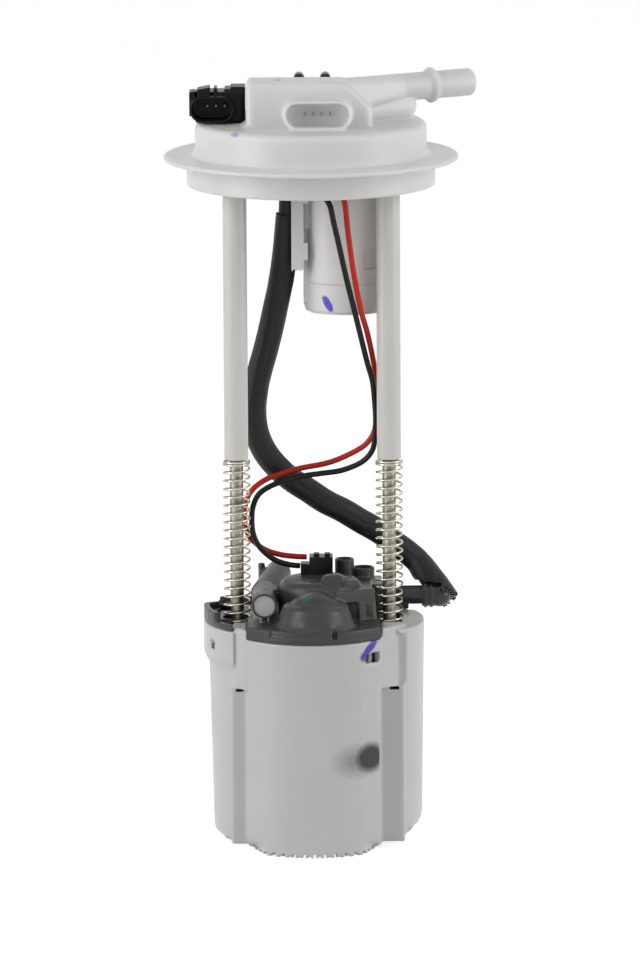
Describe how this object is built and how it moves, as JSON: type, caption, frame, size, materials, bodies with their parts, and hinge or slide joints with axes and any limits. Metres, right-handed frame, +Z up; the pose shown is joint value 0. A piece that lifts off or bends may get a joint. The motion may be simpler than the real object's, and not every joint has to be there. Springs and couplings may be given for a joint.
{
  "type": "in-tank fuel pump module",
  "caption": "In-tank fuel pump module: sprung plastic flange with ports and connectors on two guide rods over a reservoir with pump, regulator, hose, wires and float arm.",
  "frame": {"origin": "on the axis of the flange and the reservoir, on the plane of the tank floor that the reservoir stands on", "axes": "+Z up along the axis from the reservoir to the flange, +X to the right seen from the front, +Y to the back, away from the guide rods"},
  "size_m": [0.1436, 0.1374, 0.3562],
  "materials": {
    "white_acetal": "satin",
    "white_tube": "smooth",
    "dark_grey_nylon": "satin",
    "black_plastic": "satin",
    "clip_grey": "satin",
    "rod_steel": "drawn",
    "spring_steel": "bright",
    "clip_steel": "dull",
    "terminal_tin": "plated",
    "rubber_black": "matt",
    "hose_black": "satin",
    "braid_black": "woven",
    "wire_black": "gloss",
    "wire_red": "gloss",
    "pump_can": "drawn",
    "aluminium": "machined",
    "magnet": "sintered",
    "copper": "wound",
    "impeller_resin": "moulded",
    "strainer_mesh": "mesh",
    "sender_resin": "moulded",
    "float_foam": "foam",
    "plug_white": "satin",
    "regulator_steel": "plated"
  },
  "bodies": {
    "reservoir_body": {"left_spring": "spring_steel", "right_spring": "spring_steel", "fuel_hose": "hose_black", "hose_sleeve": "braid_black", "hose_elbow": "black_plastic", "black_wire": "wire_black", "red_wire": "wire_red", "pump_plug": "black_plastic", "reservoir": "white_acetal", "reservoir_cover": "dark_grey_nylon", "return_tube_plug": "plug_white", "pressure_regulator": "regulator_steel", "outlet_nipple": "black_plastic", "pump_housing": "pump_can", "pump_end_cap": "black_plastic", "pump_inlet_plate": "aluminium", "pump_magnets": "magnet", "pump_terminals": "terminal_tin", "pump_isolator": "rubber_black", "pump_strainer": "strainer_mesh", "fuel_filter": "pump_can", "filter_pipe": "black_plastic", "jet_pump": "sender_resin", "inlet_umbrella_valve": "rubber_black", "level_sender": "sender_resin"},
    "flange_body": {"flange": "white_acetal", "flange_terminals": "terminal_tin", "flange_plug": "black_plastic", "pressure_sensor": "black_plastic", "sensor_terminals": "terminal_tin", "sensor_grommet": "rubber_black", "feed_line_clip": "clip_grey", "left_guide_tube": "white_tube", "right_guide_tube": "white_tube", "left_guide_rod": "rod_steel", "right_guide_rod": "rod_steel", "rod_clips": "clip_steel", "vent_valve_body": "white_acetal", "vent_valve_cap": "white_acetal", "hose_guide": "white_acetal"},
    "rotor": {"pump_armature": "copper", "pump_shaft": "rod_steel", "pump_impeller": "impeller_resin"},
    "float_lever": {"float_arm": "rod_steel", "float": "float_foam"},
    "vent_float": {"vent_valve_float": "impeller_resin"},
    "outlet_poppet": {"check_valve_poppet": "impeller_resin"}
  },
  "joints": [
    {"name": "flange_slide", "type": "slide", "parent": "reservoir_body", "child": "flange_body", "axis": [0, 0, 1], "range_m": [-0.05, 0], "stiffness_N_per_m": 500, "springref_m": 0.03, "deforming": ["left_spring", "right_spring", "fuel_hose", "hose_sleeve", "black_wire", "red_wire"]},
    {"name": "pump_spin", "type": "hinge", "parent": "reservoir_body", "child": "rotor", "pos_m": [0.003, -0.008, 0.05], "axis": [0, 0, 1], "continuous": true},
    {"name": "float_swing", "type": "hinge", "parent": "reservoir_body", "child": "float_lever", "pos_m": [0.014, 0.0565, 0.08], "axis": [0, 1, 0], "range_deg": [0, 75]},
    {"name": "vent_float_lift", "type": "slide", "parent": "flange_body", "child": "vent_float", "axis": [0, 0, 1], "range_m": [0, 0.004]},
    {"name": "poppet_lift", "type": "slide", "parent": "reservoir_body", "child": "outlet_poppet", "axis": [0, 0, 1], "range_m": [0, 0.0015], "stiffness_N_per_m": 100, "springref_m": -0.002}
  ]
}
